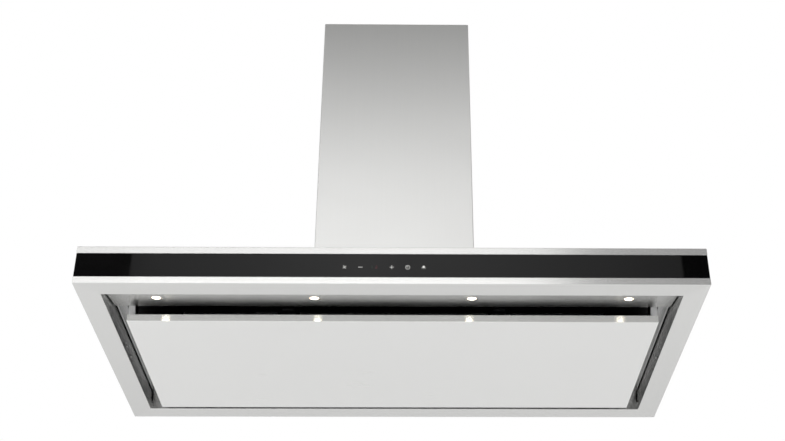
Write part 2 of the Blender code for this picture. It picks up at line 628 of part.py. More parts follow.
# Two half-round flaps on that pin.  Their knuckles take turns along it.
for label, side, group, tongues in (
        ("front", -1, FLAP_F, ((-58, -22), (22, 58))),
        ("rear", 1, FLAP_R, ((-68, -60), (-20, 20), (60, 68)))):
    r = 71.5 * MM
    a0 = math.asin(3.4 * MM / r)
    arc = [(r * math.cos(a0 + (math.pi - 2 * a0) * k / 24),
            side * r * math.sin(a0 + (math.pi - 2 * a0) * k / 24)) for k in range(25)]
    flap = extruded("damper_flap_" + label, arc, 'Z', up(FLAP_H - 0.6 * MM),
                    up(FLAP_H + 0.6 * MM), group, ALU, moving=True)
    bm = bmesh.new()
    for x0, x1 in tongues:
        y0, y1 = sorted((side * 2.2 * MM, side * 5 * MM))
        add_box(bm, (x0 * MM + 1 * MM, y0, up(FLAP_H - 0.5 * MM)),
                (x1 * MM - 1 * MM, y1, up(FLAP_H + 0.5 * MM)))
    boolean(flap, make("flap_tongues_" + label, bm, HOOD, None, guide=True), 'UNION')
    bm = bmesh.new()
    for x0, x1 in tongues:
        turned(bm, [(1.8 * MM, x0 * MM), (3.0 * MM, x0 * MM), (3.0 * MM, x1 * MM),
                    (1.8 * MM, x1 * MM)], 16, along((1, 0, 0), (0, 0, up(FLAP_H))), False)
    boolean(flap, make("flap_knuckles_" + label, bm, HOOD, None, guide=True), 'UNION')

# Touch board in the window behind the front glass.
board_y = -gy + GLASS_T + GAP
touch = boxed("touch_board", (-118 * MM, board_y, up(23 * MM)),
              (88 * MM, board_y + 1.6 * MM, up(57 * MM)), HOOD, PCB)
boolean(touch, boxed("board_connector", (60 * MM, board_y + 1 * MM, up(34 * MM)),
                     (78 * MM, board_y + 8 * MM, up(46 * MM)), HOOD, None, guide=True),
        'UNION')

# Electronics box with its lid, LED driver and cable gland above the light plate.
cb = ((-410 * MM, -300 * MM, up(44 * MM)), (-200 * MM, -190 * MM, up(70 * MM)))
control_box = boxed("control_box", cb[0], cb[1], HOOD, GREY)
boolean(control_box, boxed("cut_control_box", tuple(v + 2 * MM for v in cb[0]),
                           (cb[1][0] - 2 * MM, cb[1][1] - 2 * MM, cb[1][2] + 10 * MM),
                           HOOD, None, guide=True), 'DIFFERENCE')
boolean(control_box, disc_guide("cut_gland_hole", 8.3 * MM, 24, (1, 0, 0),
                                (cb[1][0], -245 * MM, up(57 * MM)), -10 * MM, 10 * MM, HOOD),
        'DIFFERENCE')
boxed("control_box_lid", (cb[0][0], cb[0][1], cb[1][2] + GAP),
      (cb[1][0], cb[1][1], cb[1][2] + GAP + 2 * MM), HOOD, GREY)
lathe("cable_gland", [(4 * MM, -12 * MM), (8 * MM, -12 * MM), (8 * MM, GAP), (12 * MM, GAP),
                      (12 * MM, 6 * MM), (9 * MM, 9 * MM), (8 * MM, 18 * MM), (4 * MM, 18 * MM)],
      24, (1, 0, 0), (cb[1][0], -245 * MM, up(57 * MM)), HOOD, DARK, solid=False)
boxed("led_driver", (205 * MM, -296 * MM, up(38 * MM)), (340 * MM, -250 * MM, up(62 * MM)),
      HOOD, GREY)

# Magnetic catches under the chamber ceiling that hold the panel shut: a steel
# wedge whose sloping front face looks down and forward through the slot.
for label, sx in (("left", -1), ("right", 1)):
    x0, x1 = sorted((sx * 519.5 * MM, sx * 532.6 * MM))
    wedge = rounded([(-124 * MM, up(PANEL_H + GAP)), (-150 * MM, up(POCKET_TOP - GAP)),
                     (-112 * MM, up(POCKET_TOP - GAP)), (-112 * MM, up(PANEL_H + GAP))],
                    [1.5 * MM, 0, 0, 1.5 * MM], True, 3)
    extruded("panel_magnet_" + label, wedge, 'X', x0, x1, HOOD, BRIGHT)

# Panel hinges: bracket below the rear ceiling strip, pin, and the panel's leaf.
for label, sx in (("left", -1), ("right", 1)):
    lug = [(HINGE_Y + 4.5 * MM * math.cos(math.radians(a)),
            up(HINGE_H) + 4.5 * MM * math.sin(math.radians(a)))
           for a in range(180, 361, 20)]
    lug += [(HINGE_Y + 4.5 * MM, up(STRIP_H - 1.3 * MM)), (HINGE_Y - 4.5 * MM, up(STRIP_H - 1.3 * MM))]
    x0, x1 = sx * HINGE_X - 1 * MM, sx * HINGE_X + 1 * MM
    br = extruded("hinge_bracket_" + label, lug, 'X', x0, x1, HOOD, ZINC)
    boolean(br, boxed("hinge_foot_" + label,
                      (sx * HINGE_X - 9 * MM, HINGE_Y - 1.5 * MM, up(STRIP_H - 2.3 * MM)),
                      (sx * HINGE_X + 9 * MM, HINGE_Y + 16 * MM, up(STRIP_H - GAP)), HOOD, None,
                      guide=True), 'UNION')
    boolean(br, disc_guide("cut_lug_" + label, 2.3 * MM, 20, (1, 0, 0),
                           (sx * HINGE_X, HINGE_Y, up(HINGE_H)), -10 * MM, 10 * MM, HOOD),
            'DIFFERENCE')
    lathe("hinge_pin_" + label, [(0, -8 * MM), (3.6 * MM, -8 * MM), (3.6 * MM, -6.5 * MM),
                                 (2.0 * MM, -6.5 * MM), (2.0 * MM, 8 * MM), (0, 8 * MM)],
          20, (1, 0, 0), (sx * HINGE_X, HINGE_Y, up(HINGE_H)), HOOD, BRIGHT)
    ear = [(HINGE_Y + 4.4 * MM * math.cos(math.radians(a)),
            up(HINGE_H) + 4.4 * MM * math.sin(math.radians(a)))
           for a in range(0, 181, 20)]
    ear = [(HINGE_Y + 4.4 * MM, up(2 * MM))] + ear + [(HINGE_Y - 4.4 * MM, up(2 * MM))]
    bm = bmesh.new()
    for e in (-5.5, 3.5):
        prism(bm, ear, 'X', sx * HINGE_X + e * MM, sx * HINGE_X + (e + 2) * MM)
    leaf = boxed("panel_hinge_leaf_" + label,
                 (sx * HINGE_X - 10 * MM, HINGE_Y - 24 * MM, up(SHEET + GAP)),
                 (sx * HINGE_X + 10 * MM, HINGE_Y + 7 * MM, up(SHEET + GAP + 1.5 * MM)),
                 PANEL, ZINC, moving=True)
    boolean(leaf, make("leaf_ears_" + label, bm, HOOD, None, guide=True), 'UNION')
    boolean(leaf, disc_guide("cut_leaf_" + label, 2.3 * MM, 20, (1, 0, 0),
                             (sx * HINGE_X, HINGE_Y, up(HINGE_H)), -12 * MM, 12 * MM, HOOD),
            'DIFFERENCE')


# ==================================================================== panel
# Tray of the perimeter panel: face, front and side flanges, low rear flange.
def panel_plan(d):
    return PANEL_HX - d, PANEL_Y0 + d, PANEL_Y1 - d


bm = bmesh.new()
outline = folded([(0, PANEL_H), (0, 0), (40 * MM, 0)], SHEET, 0.8 * MM, 5)
last = len(outline) // 2 - 1          # inner end of the outer face
loops = []
for d, h in outline:
    hx, y0, y1 = panel_plan(d)
    z = up(h)
    loops.append([bm.verts.new((-hx, y0, z)), bm.verts.new((hx, y0, z)),
                  bm.verts.new((hx, y1, z)), bm.verts.new((-hx, y1, z))])
# The flat floor lies between the two inner ends of the flange section.
for i in range(len(loops)):
    p, q = loops[i], loops[(i + 1) % len(loops)]
    if i == last:
        bm.faces.new(p[::-1])
        bm.faces.new(q)
        continue
    for k in range(4):
        m = (k + 1) % 4
        bm.faces.new((p[k], p[m], q[m], q[k]))
tray = make("panel_tray", bm, PANEL, PANEL_STEEL, smooth=25, moving=True)
boolean(tray, boxed("cut_rear_flange", (-PANEL_HX + 4 * MM, PANEL_Y1 - 5 * MM, up(6 * MM)),
                    (PANEL_HX - 4 * MM, PANEL_Y1 + 5 * MM, up(PANEL_H + 5 * MM)), HOOD, None,
                    guide=True), 'DIFFERENCE')

# Stiffening pan that closes the back of the tray, clear of the hinges.
pan = boxed("panel_inner_pan",
            (-PANEL_HX + SHEET + 0.8 * MM, PANEL_Y0 + SHEET + 0.8 * MM, up(12 * MM)),
            (PANEL_HX - SHEET - 0.8 * MM, HINGE_Y - 26 * MM, up(12.8 * MM)), PANEL, ZINC,
            moving=True)
bm = bmesh.new()
for y in (PANEL_Y0 + 60 * MM, (PANEL_Y0 + HINGE_Y) / 2 - 5 * MM, HINGE_Y - 75 * MM):
    add_box(bm, (-PANEL_HX + 30 * MM, y - 0.6 * MM, up(SHEET + GAP)),
            (PANEL_HX - 30 * MM, y + 0.6 * MM, up(12.5 * MM)))
boolean(pan, make("pan_ribs", bm, HOOD, None, guide=True), 'UNION')
bpy.context.view_layer.update()
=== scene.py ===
import json
import math

import bmesh
import bpy
from mathutils import Matrix, Vector

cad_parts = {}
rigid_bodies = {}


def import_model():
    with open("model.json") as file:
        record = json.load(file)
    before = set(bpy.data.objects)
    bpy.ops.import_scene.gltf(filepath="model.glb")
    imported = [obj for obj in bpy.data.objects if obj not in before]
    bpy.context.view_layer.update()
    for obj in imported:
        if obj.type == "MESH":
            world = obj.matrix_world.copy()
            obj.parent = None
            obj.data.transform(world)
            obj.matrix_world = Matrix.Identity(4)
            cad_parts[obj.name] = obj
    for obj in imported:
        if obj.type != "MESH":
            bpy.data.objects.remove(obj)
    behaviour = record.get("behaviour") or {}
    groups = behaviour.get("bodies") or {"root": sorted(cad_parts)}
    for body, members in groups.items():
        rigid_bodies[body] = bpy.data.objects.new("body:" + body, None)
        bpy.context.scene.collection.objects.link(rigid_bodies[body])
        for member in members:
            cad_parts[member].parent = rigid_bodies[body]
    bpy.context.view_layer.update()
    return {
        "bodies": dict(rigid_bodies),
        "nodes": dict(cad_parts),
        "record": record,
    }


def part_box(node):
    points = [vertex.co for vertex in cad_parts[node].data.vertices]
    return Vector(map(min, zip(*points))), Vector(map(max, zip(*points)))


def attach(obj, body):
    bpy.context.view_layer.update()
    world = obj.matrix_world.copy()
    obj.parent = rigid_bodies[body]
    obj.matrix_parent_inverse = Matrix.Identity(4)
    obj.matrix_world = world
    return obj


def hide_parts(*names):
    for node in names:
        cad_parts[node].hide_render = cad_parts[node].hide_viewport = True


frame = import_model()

MM = 0.001
NODES = frame["nodes"]
BODIES = frame["bodies"]

# Places that everything below is measured from, all read from the CAD frame.
rim_lo, rim_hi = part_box("rim_frame")
Z0 = rim_lo.z                                  # underside
HX, HY = rim_hi.x, rim_hi.y                    # half width and half depth
glass_lo, glass_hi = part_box("front_glass")
GLASS_Y = glass_lo.y
tray_lo, tray_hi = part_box("panel_tray")
plate_lo, plate_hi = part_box("light_plate")


def up(h):
    return Z0 + h


# --------------------------------------------------------------------- nodes
class Net:
    """A short way to write node trees: sockets in, sockets out."""

    def __init__(self, tree):
        self.t = tree

    def node(self, kind, **props):
        n = self.t.nodes.new(kind)
        for k, v in props.items():
            setattr(n, k, v)
        return n

    def put(self, sock, value):
        if isinstance(value, bpy.types.NodeSocket):
            self.t.links.new(value, sock)
        elif value is not None:
            sock.default_value = value

    def m(self, op, a, b=None, c=None, clamp=False):
        n = self.node("ShaderNodeMath", operation=op, use_clamp=clamp)
        for i, v in enumerate((a, b, c)):
            if v is not None:
                self.put(n.inputs[i], v)
        return n.outputs[0]

    def add(self, *a):
        out = a[0]
        for b in a[1:]:
            out = self.m("ADD", out, b)
        return out

    def mul(self, *a):
        out = a[0]
        for b in a[1:]:
            out = self.m("MULTIPLY", out, b)
        return out

    def step(self, value, lo, hi, a=0.0, b=1.0, smooth=True):
        n = self.node("ShaderNodeMapRange")
        n.interpolation_type = "SMOOTHSTEP" if smooth else "LINEAR"
        self.put(n.inputs["Value"], value)
        self.put(n.inputs["From Min"], lo)
        self.put(n.inputs["From Max"], hi)
        self.put(n.inputs["To Min"], a)
        self.put(n.inputs["To Max"], b)
        return n.outputs["Result"]

    def mix(self, fac, a, b):
        n = self.node("ShaderNodeMix", data_type="FLOAT")
        self.put(n.inputs[0], fac)
        self.put(n.inputs[2], a)
        self.put(n.inputs[3], b)
        return n.outputs[0]

    def mixc(self, fac, a, b, blend="MIX"):
        n = self.node("ShaderNodeMix", data_type="RGBA", blend_type=blend)
        self.put(n.inputs[0], fac)
        self.put(n.inputs[6], a)
        self.put(n.inputs[7], b)
        return n.outputs[2]

    def coord(self):
        return self.node("ShaderNodeTexCoord").outputs["Object"]

    def xyz(self, vec):
        n = self.node("ShaderNodeSeparateXYZ")
        self.put(n.inputs[0], vec)
        return n.outputs[0], n.outputs[1], n.outputs[2]

    def scaled(self, vec, scale, loc=(0, 0, 0), rot=(0, 0, 0)):
        n = self.node("ShaderNodeMapping")
        self.put(n.inputs["Vector"], vec)
        n.inputs["Scale"].default_value = scale
        n.inputs["Location"].default_value = loc
        n.inputs["Rotation"].default_value = rot
        return n.outputs[0]

    def noise(self, vec, scale=1.0, detail=2.0, rough=0.5):
        n = self.node("ShaderNodeTexNoise")
        self.put(n.inputs["Vector"], vec)
        n.inputs["Scale"].default_value = scale
        n.inputs["Detail"].default_value = detail
        n.inputs["Roughness"].default_value = rough
        return n.outputs["Fac"]

    def rgb(self, value):
        c = self.node("ShaderNodeCombineColor")
        for i in range(3):
            self.put(c.inputs[i], value)
        return c.outputs[0]

    def ramp(self, value, lo, hi, stops):
        """Piecewise curve of a value between lo and hi; stops are (value, level)."""
        n = self.node("ShaderNodeFloatCurve")
        c = n.mapping.curves[0]
        n.mapping.extend = "HORIZONTAL"
        n.mapping.use_clip = False
        top = max(v for _, v in stops)
        pts = [((a - lo) / (hi - lo), v / top) for a, v in stops]
        c.points[0].location = pts[0]
        c.points[1].location = pts[-1]
        for q in pts[1:-1]:
            c.points.new(*q)
        for q in c.points:
            q.handle_type = "VECTOR"
        n.mapping.update()
        self.put(n.inputs["Value"], self.step(value, lo, hi, smooth=False))
        return self.m("MULTIPLY", n.outputs[0], top)

    def bump(self, height, strength, distance):
        n = self.node("ShaderNodeBump")
        self.put(n.inputs["Height"], height)
        n.inputs["Strength"].default_value = strength
        n.inputs["Distance"].default_value = distance
        return n.outputs[0]


def new_material(name):
    mat = bpy.data.materials.new(name)
    mat.use_nodes = True
    nt = mat.node_tree
    bsdf = nt.nodes["Principled BSDF"]
    return mat, Net(nt), bsdf


def rgb(c):
    return (c[0], c[1], c[2], 1.0)


def tint(n, base, value, amount):
    """base colour times 1 +- amount, following a 0..1 value."""
    f = n.step(value, 0.25, 0.75, 1.0 - amount, 1.0 + amount, smooth=False)
    c = n.node("ShaderNodeCombineColor")
    for i in range(3):
        n.put(c.inputs[i], n.m("MULTIPLY", f, base[i]))
    return c.outputs[0]


def brushed(name, base, rough, grain="X", aniso=0.9, mitred=0.0, contrast=0.015,
            cloud=0.012, hairs=0.03, painted_chamber_shade=None):
    """Brushed stainless steel.  The highlight is drawn out across the grain; fine
    hairlines run along it and a slow change of polish can be seen from close by."""
    mat, n, b = new_material(name)
    co = n.coord()
    x, y, z = n.xyz(co)
    along_y = None
    if mitred:
        ex = n.m("SUBTRACT", HX, n.m("ABSOLUTE", x))
        ey = n.m("SUBTRACT", HY, n.m("ABSOLUTE", y))
        along_y = n.mul(n.m("LESS_THAN", ex, ey), n.m("LESS_THAN", ex, mitred))

    def lines(across, along, detail, shift):
        maps = {"X": (along, across, across), "Y": (across, along, across),
                "Z": (across, across, along)}
        main = n.noise(n.scaled(co, maps[grain], loc=shift), 1.0, detail, 0.55)
        if along_y is None:
            return main
        side = n.noise(n.scaled(co, maps["Y"], loc=shift), 1.0, detail, 0.55)
        return n.mix(along_y, main, side)

    # Direction across the grain, for any face that holds the grain.
    h = 0.7071
    t = n.node("ShaderNodeCombineXYZ")
    cross = {"X": (0.0, h, h), "Y": (h, 0.0, h), "Z": (h, h, 0.0)}
    if along_y is None:
        for k in range(3):
            t.inputs[k].default_value = cross[grain][k]
    else:
        for k in range(3):
            n.put(t.inputs[k], n.mix(along_y, cross[grain][k], cross["Y"][k]))
    n.put(b.inputs["Tangent"], t.outputs[0])
    b.inputs["Anisotropic"].default_value = aniso

    hair = lines(3000.0, 9.0, 1.0, (0.0, 0.0, 0.0))
    fine = lines(800.0, 4.0, 2.0, (3.1, 1.7, 0.4))
    slow = n.noise(n.scaled(co, (2.3, 2.3, 2.3)), 1.0, 2.0, 0.5)
    smudge = n.noise(n.scaled(co, (9.0, 9.0, 9.0), loc=(5.0, 2.0, 1.0)), 1.0, 3.0, 0.55)
    colour = tint(n, base, fine, contrast)
    r = n.add(n.step(fine, 0.3, 0.7, rough - 0.01, rough + 0.01, smooth=False),
              n.step(slow, 0.3, 0.7, -cloud, cloud, smooth=False),
              n.step(smudge, 0.5, 0.75, 0.0, cloud))
    if painted_chamber_shade is not None:
        # Painted shade: inside the filter chamber the steel is painted near black, where the recess lies in shadow.
        inside = painted_chamber_shade(n, x, y, z)
        colour = n.mixc(inside, colour, (0.007, 0.007, 0.007, 1.0))
        r = n.mix(inside, r, 0.62)
    n.put(b.inputs["Base Color"], colour)
    n.put(b.inputs["Roughness"], r)
    b.inputs["Metallic"].default_value = 1.0
    n.put(b.inputs["Normal"], n.bump(hair, hairs, 0.0002))
    return mat


def sheet_metal(name, base, rough, spangle=60.0, amount=0.07):
    """Galvanised sheet: soft crystal spangle and faint rolling marks."""
    mat, n, b = new_material(name)
    co = n.coord()
    v = n.node("ShaderNodeTexVoronoi")
    n.put(v.inputs["Vector"], co)
    v.inputs["Scale"].default_value = spangle
    g = n.node("ShaderNodeRGBToBW")
    n.put(g.inputs[0], v.outputs["Color"])
    cell = g.outputs[0]
    fine = n.noise(n.scaled(co, (40, 600, 600)), 1.0, 2.0)
    val = n.add(n.mul(cell, 0.7), n.mul(fine, 0.3))
    n.put(b.inputs["Base Color"], tint(n, base, val, amount))
    n.put(b.inputs["Roughness"], n.step(val, 0.2, 0.8, rough - 0.08, rough + 0.1, smooth=False))
    b.inputs["Metallic"].default_value = 1.0
    n.put(b.inputs["Normal"], n.bump(val, 0.06, 0.0005))
    return mat


def moulded(name, base, rough, grain=900.0, bump=0.25, spec=0.5):
    """Moulded plastic with a fine spark-eroded texture."""
    mat, n, b = new_material(name)
    co = n.coord()
    f = n.noise(co, grain, 2.0, 0.6)
    slow = n.noise(co, 12.0, 2.0)
    n.put(b.inputs["Base Color"], tint(n, base, slow, 0.12))
    n.put(b.inputs["Roughness"], n.step(f, 0.3, 0.7, rough - 0.06, rough + 0.08, smooth=False))
    b.inputs["Specular IOR Level"].default_value = spec
    n.put(b.inputs["Normal"], n.bump(f, bump, 0.0002))
    return mat


def polished(name, base, rough):
    """Turned, plated metal with faint turning lines and finger haze."""
    mat, n, b = new_material(name)
    co = n.coord()
    f = n.noise(n.scaled(co, (700, 700, 2600)), 1.0, 2.0)
    haze = n.noise(co, 40.0, 2.0)
    n.put(b.inputs["Base Color"], tint(n, base, f, 0.03))
    n.put(b.inputs["Roughness"], n.step(haze, 0.3, 0.7, rough, rough + 0.08, smooth=False))
    b.inputs["Metallic"].default_value = 1.0
    n.put(b.inputs["Normal"], n.bump(f, 0.05, 0.0002))
    return mat


def black_glass(name):
    """Toughened glass, black on its back, with a trace of wiping haze."""
    mat, n, b = new_material(name)
    co = n.coord()
    haze = n.noise(n.scaled(co, (14, 14, 40)), 1.0, 3.0)
    n.put(b.inputs["Base Color"], tint(n, (0.0016, 0.0016, 0.0017), haze, 0.25))
    n.put(b.inputs["Roughness"], n.step(haze, 0.35, 0.75, 0.008, 0.022))
    b.inputs["IOR"].default_value = 1.52
    wave = n.noise(n.scaled(co, (3, 3, 3)), 1.0, 1.0)
    n.put(b.inputs["Normal"], n.bump(wave, 0.008, 0.001))
    return mat


def lens_material(name, spacing, first):
    """Frosted lens over a lit LED module; the light falls off and warms at its rim."""
    mat, n, b = new_material(name)
    co = n.coord()
    x, y, z = n.xyz(co)
    dx = n.m("SUBTRACT", n.m("FLOORED_MODULO", n.m("SUBTRACT", x, first - spacing / 2), spacing),
             spacing / 2)
    dy = n.m("SUBTRACT", y, LAMP_Y)
    r = n.m("SQRT", n.add(n.mul(dx, dx), n.mul(dy, dy)))
    rim = n.step(r, 0.0066, 0.0090)
    f = n.noise(co, 900.0, 2.0)
    n.put(b.inputs["Base Color"], tint(n, (0.95, 0.90, 0.80), f, 0.04))
    n.put(b.inputs["Roughness"], n.step(f, 0.3, 0.7, 0.25, 0.4, smooth=False))
    n.put(b.inputs["Emission Color"], n.mixc(rim, (1.0, 0.95, 0.80, 1.0), (1.0, 0.70, 0.36, 1.0)))
    n.put(b.inputs["Emission Strength"], n.mix(rim, 10.0, 1.2))
    return mat


def printed(name, base, glow):
    """Enamel print on the glass, lit from behind, a little uneven."""
    mat, n, b = new_material(name)
    co = n.coord()
    f = n.noise(co, 1500.0, 2.0)
    n.put(b.inputs["Base Color"], tint(n, base, f, 0.06))
    n.put(b.inputs["Roughness"], n.step(f, 0.3, 0.7, 0.4, 0.55, smooth=False))
    n.put(b.inputs["Emission Color"], tint(n, base, f, 0.06))
    b.inputs["Emission Strength"].default_value = glow
    return mat


# Mask of the filter chamber, where the liner steel gets painted near-black shade.
def chamber_shade_mask(n, x, y, z):
    a = n.m("LESS_THAN", n.m("ABSOLUTE", x), 0.5345)
    c = n.m("LESS_THAN", y, 0.2585)
    d = n.m("GREATER_THAN", z, up(0.0424))
    e = n.m("GREATER_THAN", y, -0.1645)
    return n.mul(a, c, d, e)


lamp_boxes = [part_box("lamp_lens_%d" % i) for i in range(1, 5)]
LAMP_X = [(lo.x + hi.x) / 2 for lo, hi in lamp_boxes]
LAMP_Y = (lamp_boxes[0][0].y + lamp_boxes[0][1].y) / 2

STEEL = brushed("steel_body", (0.64, 0.64, 0.63), 0.21, "X", aniso=1.0, mitred=0.06)
TOP_STEEL = brushed("steel_top", (0.62, 0.62, 0.61), 0.21, "X", aniso=1.0, mitred=0.0015)
CHIMNEY = brushed("steel_chimney", (0.62, 0.62, 0.61), 0.30, "Z", aniso=0.75, contrast=0.01)
PANEL_FACE = brushed("steel_panel", (0.77, 0.77, 0.76), 0.25, "X", aniso=1.0, contrast=0.012, hairs=0.012)
LIGHT_PLATE = brushed("steel_light_plate", (0.50, 0.50, 0.49), 0.21, "X", hairs=0.015)
LINER = brushed("steel_liner", (0.29, 0.29, 0.29), 0.24, "X", painted_chamber_shade=chamber_shade_mask)
CATCH = polished("catch_steel", (0.42, 0.42, 0.42), 0.30)
GALV = sheet_metal("galvanised_sheet", (0.50, 0.51, 0.52), 0.42)
GLASS = black_glass("black_glass_strip")
DARK = moulded("dark_moulded", (0.022, 0.022, 0.024), 0.48)
GREY = moulded("grey_moulded", (0.26, 0.27, 0.28), 0.50)
PCB = moulded("lacquered_board", (0.015, 0.10, 0.045), 0.35, grain=300.0, bump=0.05)
CHROME = polished("lamp_plating", (0.50, 0.50, 0.50), 0.24)
PIN = polished("ground_steel", (0.64, 0.64, 0.64), 0.24)
ALU = brushed("aluminium_sheet", (0.66, 0.67, 0.68), 0.36, "X", aniso=0.6, contrast=0.05,
              cloud=0.03)
LENS = lens_material("lamp_lens_lit", LAMP_X[1] - LAMP_X[0], LAMP_X[0])
PRINT = printed("icon_print", (0.55, 0.55, 0.53), 0.36)
FAINT_RED = printed("display_red", (0.055, 0.006, 0.010), 0.9)
FAINT_GREEN = printed("display_green", (0.008, 0.030, 0.018), 0.9)

BY_SLOT = {
    "brushed_steel": STEEL, "panel_steel": PANEL_FACE, "black_glass": GLASS,
    "galvanised_steel": GALV, "bright_steel": PIN, "aluminium": ALU,
    "dark_plastic": DARK, "grey_plastic": GREY, "circuit_board": PCB,
    "lamp_chrome": CHROME, "lamp_lens": LENS}
BY_NODE = {
    "lower_sleeve_front": CHIMNEY, "lower_sleeve_rear": CHIMNEY,
    "upper_sleeve_front": CHIMNEY, "upper_sleeve_rear": CHIMNEY,
    "top_casing": TOP_STEEL, "light_plate": LIGHT_PLATE, "filter_liner": LINER,
    "panel_magnet_left": CATCH, "panel_magnet_right": CATCH}

slot_of = {s["node"]: s["material_slot"] for s in frame["record"]["subparts"]}
for name, ob in NODES.items():
    mat = BY_NODE.get(name) or BY_SLOT[slot_of[name]]
    if not ob.material_slots:
        ob.data.materials.append(mat)
    for s in ob.material_slots:
        s.material = mat

# Small broken edges on the sheet and moulded pieces, so that they catch light.
EDGE = {"front_glass": 0.6, "rear_glass": 0.6, "left_glass": 0.6, "right_glass": 0.6,
        "rim_frame": 0.3, "top_casing": 0.3, "panel_tray": 0.3, "light_plate": 0.25,
        "lower_sleeve_front": 0.2, "lower_sleeve_rear": 0.2, "upper_sleeve_front": 0.2,
        "upper_sleeve_rear": 0.2, "filter_liner": 0.2, "ceiling_plate": 0.4,
        "control_box": 0.5, "control_box_lid": 0.5, "led_driver": 1.0,
        "grease_filter_left": 0.6, "grease_filter_right": 0.6,
        "filter_latch_left": 0.5, "filter_latch_right": 0.5,
        "panel_magnet_left": 0.6, "panel_magnet_right": 0.6, "motor_box": 0.25}


def smoother(angle):
    """Modifier group: faces shaded smooth, edges sharper than the angle kept."""
    g = bpy.data.node_groups.new("smooth_folds", "GeometryNodeTree")
    g.interface.new_socket("Geometry", in_out="INPUT", socket_type="NodeSocketGeometry")
    g.interface.new_socket("Geometry", in_out="OUTPUT", socket_type="NodeSocketGeometry")
    a = g.nodes.new("NodeGroupInput")
    z = g.nodes.new("NodeGroupOutput")
    rem = g.nodes.new("GeometryNodeRemoveAttribute")
    rem.inputs["Name"].default_value = "custom_normal"
    smooth = g.nodes.new("GeometryNodeSetShadeSmooth")
    smooth.domain = "FACE"
    smooth.inputs["Shade Smooth"].default_value = True
    edge = g.nodes.new("GeometryNodeInputMeshEdgeAngle")
    more = g.nodes.new("FunctionNodeCompare")
    more.data_type = "FLOAT"
    more.operation = "GREATER_THAN"
    more.inputs[1].default_value = angle
    store = g.nodes.new("GeometryNodeStoreNamedAttribute")
    store.data_type = "BOOLEAN"
    store.domain = "EDGE"
    store.inputs["Name"].default_value = "sharp_edge"
    g.links.new(a.outputs[0], rem.inputs["Geometry"])
    g.links.new(rem.outputs[0], smooth.inputs["Geometry"])
    g.links.new(smooth.outputs[0], store.inputs["Geometry"])
    g.links.new(edge.outputs["Unsigned Angle"], more.inputs[0])
    g.links.new(more.outputs[0], store.inputs["Value"])
    g.links.new(store.outputs[0], z.inputs[0])
    return g


FOLDS = smoother(math.radians(32))
for name, w in EDGE.items():
    ob = NODES[name]
    weld = ob.modifiers.new("weld", "WELD")
    weld.merge_threshold = 0.00002
    folds = ob.modifiers.new("folds", "NODES")
    folds.node_group = FOLDS
    bev = ob.modifiers.new("edge", "BEVEL")
    bev.width = w * MM
    bev.segments = 2
    bev.limit_method = "ANGLE"
    bev.angle_limit = math.radians(40)
    flat = ob.modifiers.new("flat_faces", "WEIGHTED_NORMAL")
    flat.mode = "FACE_AREA"
    flat.weight = 50
    flat.keep_sharp = True


# -------------------------------------------------------------------- pieces
def piece(name, bm, mat, body, smooth=None):
    bmesh.ops.remove_doubles(bm, verts=bm.verts, dist=1e-7)
    bmesh.ops.recalc_face_normals(bm, faces=bm.faces)
    me = bpy.data.meshes.new(name)
    bm.to_mesh(me)
    bm.free()
    me.materials.append(mat)
    if smooth is not None:
        me.shade_smooth()
        me.set_sharp_from_angle(angle=math.radians(smooth))
    ob = bpy.data.objects.new(name, me)
    bpy.context.scene.collection.objects.link(ob)
    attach(ob, body)
    return ob


def revolve(bm, outline, segs, matrix, closed=False):
    rings = []
    for r, a in outline:
        if r < 1e-9:
            rings.append([bm.verts.new(matrix @ Vector((0, 0, a)))])
        else:
            rings.append([bm.verts.new(matrix @ Vector((
                r * math.cos(2 * math.pi * k / segs),
                r * math.sin(2 * math.pi * k / segs), a))) for k in range(segs)])
    count = len(rings)
    for i in range(count if closed else count - 1):
        p, q = rings[i], rings[(i + 1) % count]
        for k in range(segs):
            j = (k + 1) % segs
            if len(p) == 1 and len(q) == 1:
                continue
            if len(p) == 1:
                bm.faces.new((p[0], q[j], q[k]))
            elif len(q) == 1:
                bm.faces.new((p[k], p[j], q[0]))
            else:
                bm.faces.new((p[k], p[j], q[j], q[k]))


def facing(direction, centre):
    rot = Vector(direction).to_track_quat("Z", "Y").to_matrix().to_4x4()
    return Matrix.Translation(Vector(centre)) @ rot


# Lamps: bezel and lens, turned finely, in place of the CAD bodies.
def plate_slope():
    """Unit normal of the light plate, taken from its largest sloping underside face."""
    me = NODES["light_plate"].data
    best = max((p for p in me.polygons if p.normal.z < -0.9 and abs(p.normal.y) > 0.1),
               key=lambda p: p.area)
    return -best.normal


upn = plate_slope()
for i, (lo, hi) in enumerate(lamp_boxes, start=1):
    centre = (lo + hi) / 2 + upn * 0.65 * MM
    body = [(0, 1.0), (9.6, 1.0), (9.6, -0.9), (9.75, -1.1), (10.1, -1.18), (12.3, -1.18),
            (12.75, -1.05), (12.95, -0.8), (13.0, -0.5), (12.95, -0.3), (11.2, -0.3),
            (11.2, 13.4), (10.6, 14.0), (3.0, 14.0), (3.0, 17.2), (2.7, 17.5), (0, 17.5)]
    bm = bmesh.new()
    revolve(bm, [(r * MM, a * MM) for r, a in body], 64, facing(upn, centre))
    ob = piece("lamp_%d" % i, bm, CHROME, "hood", smooth=40)
    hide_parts("lamp_body_%d" % i)
    lens = [(0, -1.35), (3.0, -1.32), (6.0, -1.2), (8.0, -1.0), (8.9, -0.8), (9.3, -0.55),
            (9.3, 0.6), (0, 0.6)]
    bm = bmesh.new()
    revolve(bm, [(r * MM, a * MM) for r, a in lens], 64, facing(upn, centre))
    ob = piece("lens_%d" % i, bm, LENS, "hood", smooth=40)
    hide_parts("lamp_lens_%d" % i)


# Touch symbols: thin enamel prints standing just proud of the front glass.
ICON_H = 36.4 * MM
FACE = GLASS_Y - 0.06 * MM


